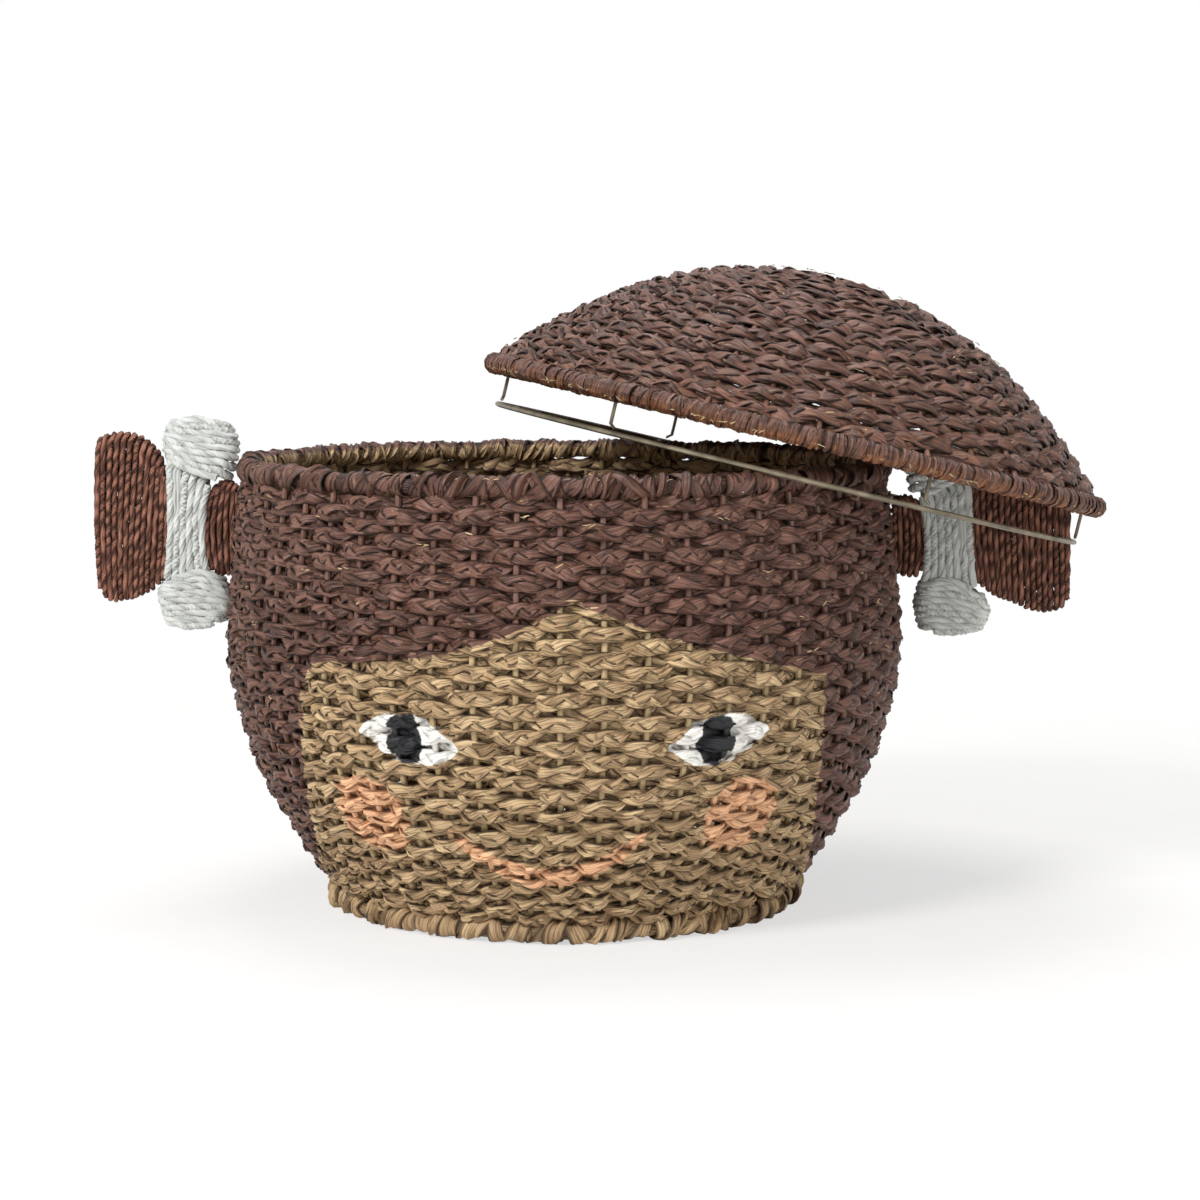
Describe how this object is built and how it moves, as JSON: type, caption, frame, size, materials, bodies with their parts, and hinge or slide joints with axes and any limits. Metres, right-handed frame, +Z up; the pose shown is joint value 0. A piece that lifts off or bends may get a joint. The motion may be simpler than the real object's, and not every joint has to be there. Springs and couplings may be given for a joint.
{
  "type": "lidded basket",
  "caption": "Round-bellied storage basket of painted grass braid on a wire cage, with wound side handles and a domed lift-off lid resting askew on the rim.",
  "frame": {"origin": "on the basket's vertical axis, at the underside of its floor", "axes": "+Z up along the basket's axis, +X towards the handle that the lid leans over, -Y towards the painted face"},
  "size_m": [0.6005, 0.413, 0.3766],
  "materials": {
    "painted_grass_braid": "matt brown paint over plaited dried grass, worn at the crossings",
    "painted_grass_wrap": "matt brown paint over wrapped dried grass, worn to the grass along the lower edge",
    "natural_grass_braid": "plaited dried grass, unpainted, slightly waxy",
    "natural_grass_wrap": "dried grass wrapped over wire, unpainted",
    "brown_paper_cord": "twisted paper cord dyed reddish brown, matt",
    "white_paper_cord": "twisted paper cord painted off-white, matt",
    "bare_steel_wire": "bare drawn steel wire, dull"
  },
  "bodies": {
    "basket": {"floor_weave": "natural_grass_braid", "floor_frame": "bare_steel_wire", "base_coil": "natural_grass_wrap", "wall_weave": "painted_grass_braid", "wall_cage": "bare_steel_wire", "rim_coil": "natural_grass_wrap", "handle_left_outer_wrap": "brown_paper_cord", "handle_left_inner_wrap": "brown_paper_cord", "handle_left_knot_wrap": "white_paper_cord", "handle_left_bow_top_wrap": "white_paper_cord", "handle_left_bow_low_wrap": "white_paper_cord", "handle_left_frame": "bare_steel_wire", "handle_left_bow_top_frame": "bare_steel_wire", "handle_left_bow_low_frame": "bare_steel_wire", "handle_right_outer_wrap": "brown_paper_cord", "handle_right_inner_wrap": "brown_paper_cord", "handle_right_knot_wrap": "white_paper_cord", "handle_right_bow_top_wrap": "white_paper_cord", "handle_right_bow_low_wrap": "white_paper_cord", "handle_right_frame": "bare_steel_wire", "handle_right_bow_top_frame": "bare_steel_wire", "handle_right_bow_low_frame": "bare_steel_wire"},
    "lid": {"lid_weave": "painted_grass_braid", "lid_cage": "bare_steel_wire", "lid_rim_coil": "painted_grass_wrap", "locating_ring": "bare_steel_wire", "lid_post_1": "bare_steel_wire", "lid_post_2": "bare_steel_wire", "lid_post_3": "bare_steel_wire", "lid_post_4": "bare_steel_wire", "lid_post_5": "bare_steel_wire", "lid_post_6": "bare_steel_wire"}
  },
  "joints": [
    {"name": "lid_lift", "type": "slide", "parent": "basket", "child": "lid", "axis": [0, 0, 1], "range_m": [0, 0.15]}
  ]
}
